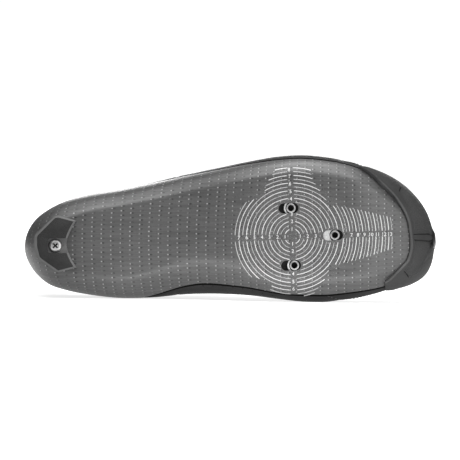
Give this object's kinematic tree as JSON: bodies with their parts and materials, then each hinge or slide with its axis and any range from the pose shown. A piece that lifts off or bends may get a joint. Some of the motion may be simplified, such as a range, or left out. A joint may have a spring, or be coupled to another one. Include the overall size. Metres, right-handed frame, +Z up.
{
  "type": "cycling shoe",
  "caption": "Right-hand road cycling shoe lying on its inner side: carbon sole tub, hollow upper, straps, rubber toe and heel pieces and sliding cleat nuts.",
  "frame": {"origin": "middle of the shoe's box at floor level, with the shoe lying on its inner side", "axes": "+X from heel to toe, -Y the way the sole faces, +Z up from the floor to the outer side"},
  "size_m": [0.2812, 0.1032, 0.1003],
  "materials": {
    "carbon": "semi-gloss carbon laminate",
    "upper": "matt synthetic leather",
    "strap": "matt synthetic leather",
    "lining": "knitted mesh",
    "rubber": "matt moulded rubber",
    "metal": "plain zinc plate"
  },
  "bodies": {
    "root": {"tub": "carbon", "upper": "upper", "insole": "lining", "tongue": "lining", "strap_lower": "strap", "strap_middle": "strap", "strap_upper": "strap", "toe_bumper": "rubber", "heel_pad": "rubber", "heel_screw": "metal"},
    "front_nut": {"cleat_nut_front": "metal"},
    "rear_lateral_nut": {"cleat_nut_rear_lateral": "metal"},
    "rear_medial_nut": {"cleat_nut_rear_medial": "metal"}
  },
  "joints": [
    {"name": "front_nut_slide", "type": "slide", "parent": "root", "child": "front_nut", "axis": [0.9983, 0.0016, 0.0586], "range_m": [-0.00455, 0.00195]},
    {"name": "rear_lateral_nut_slide", "type": "slide", "parent": "root", "child": "rear_lateral_nut", "axis": [0.9983, 0.0016, 0.0586], "range_m": [-0.00485, 0.00165]},
    {"name": "rear_medial_nut_slide", "type": "slide", "parent": "root", "child": "rear_medial_nut", "axis": [0.9983, 0.0016, 0.0586], "range_m": [-0.00555, 0.00095]}
  ]
}
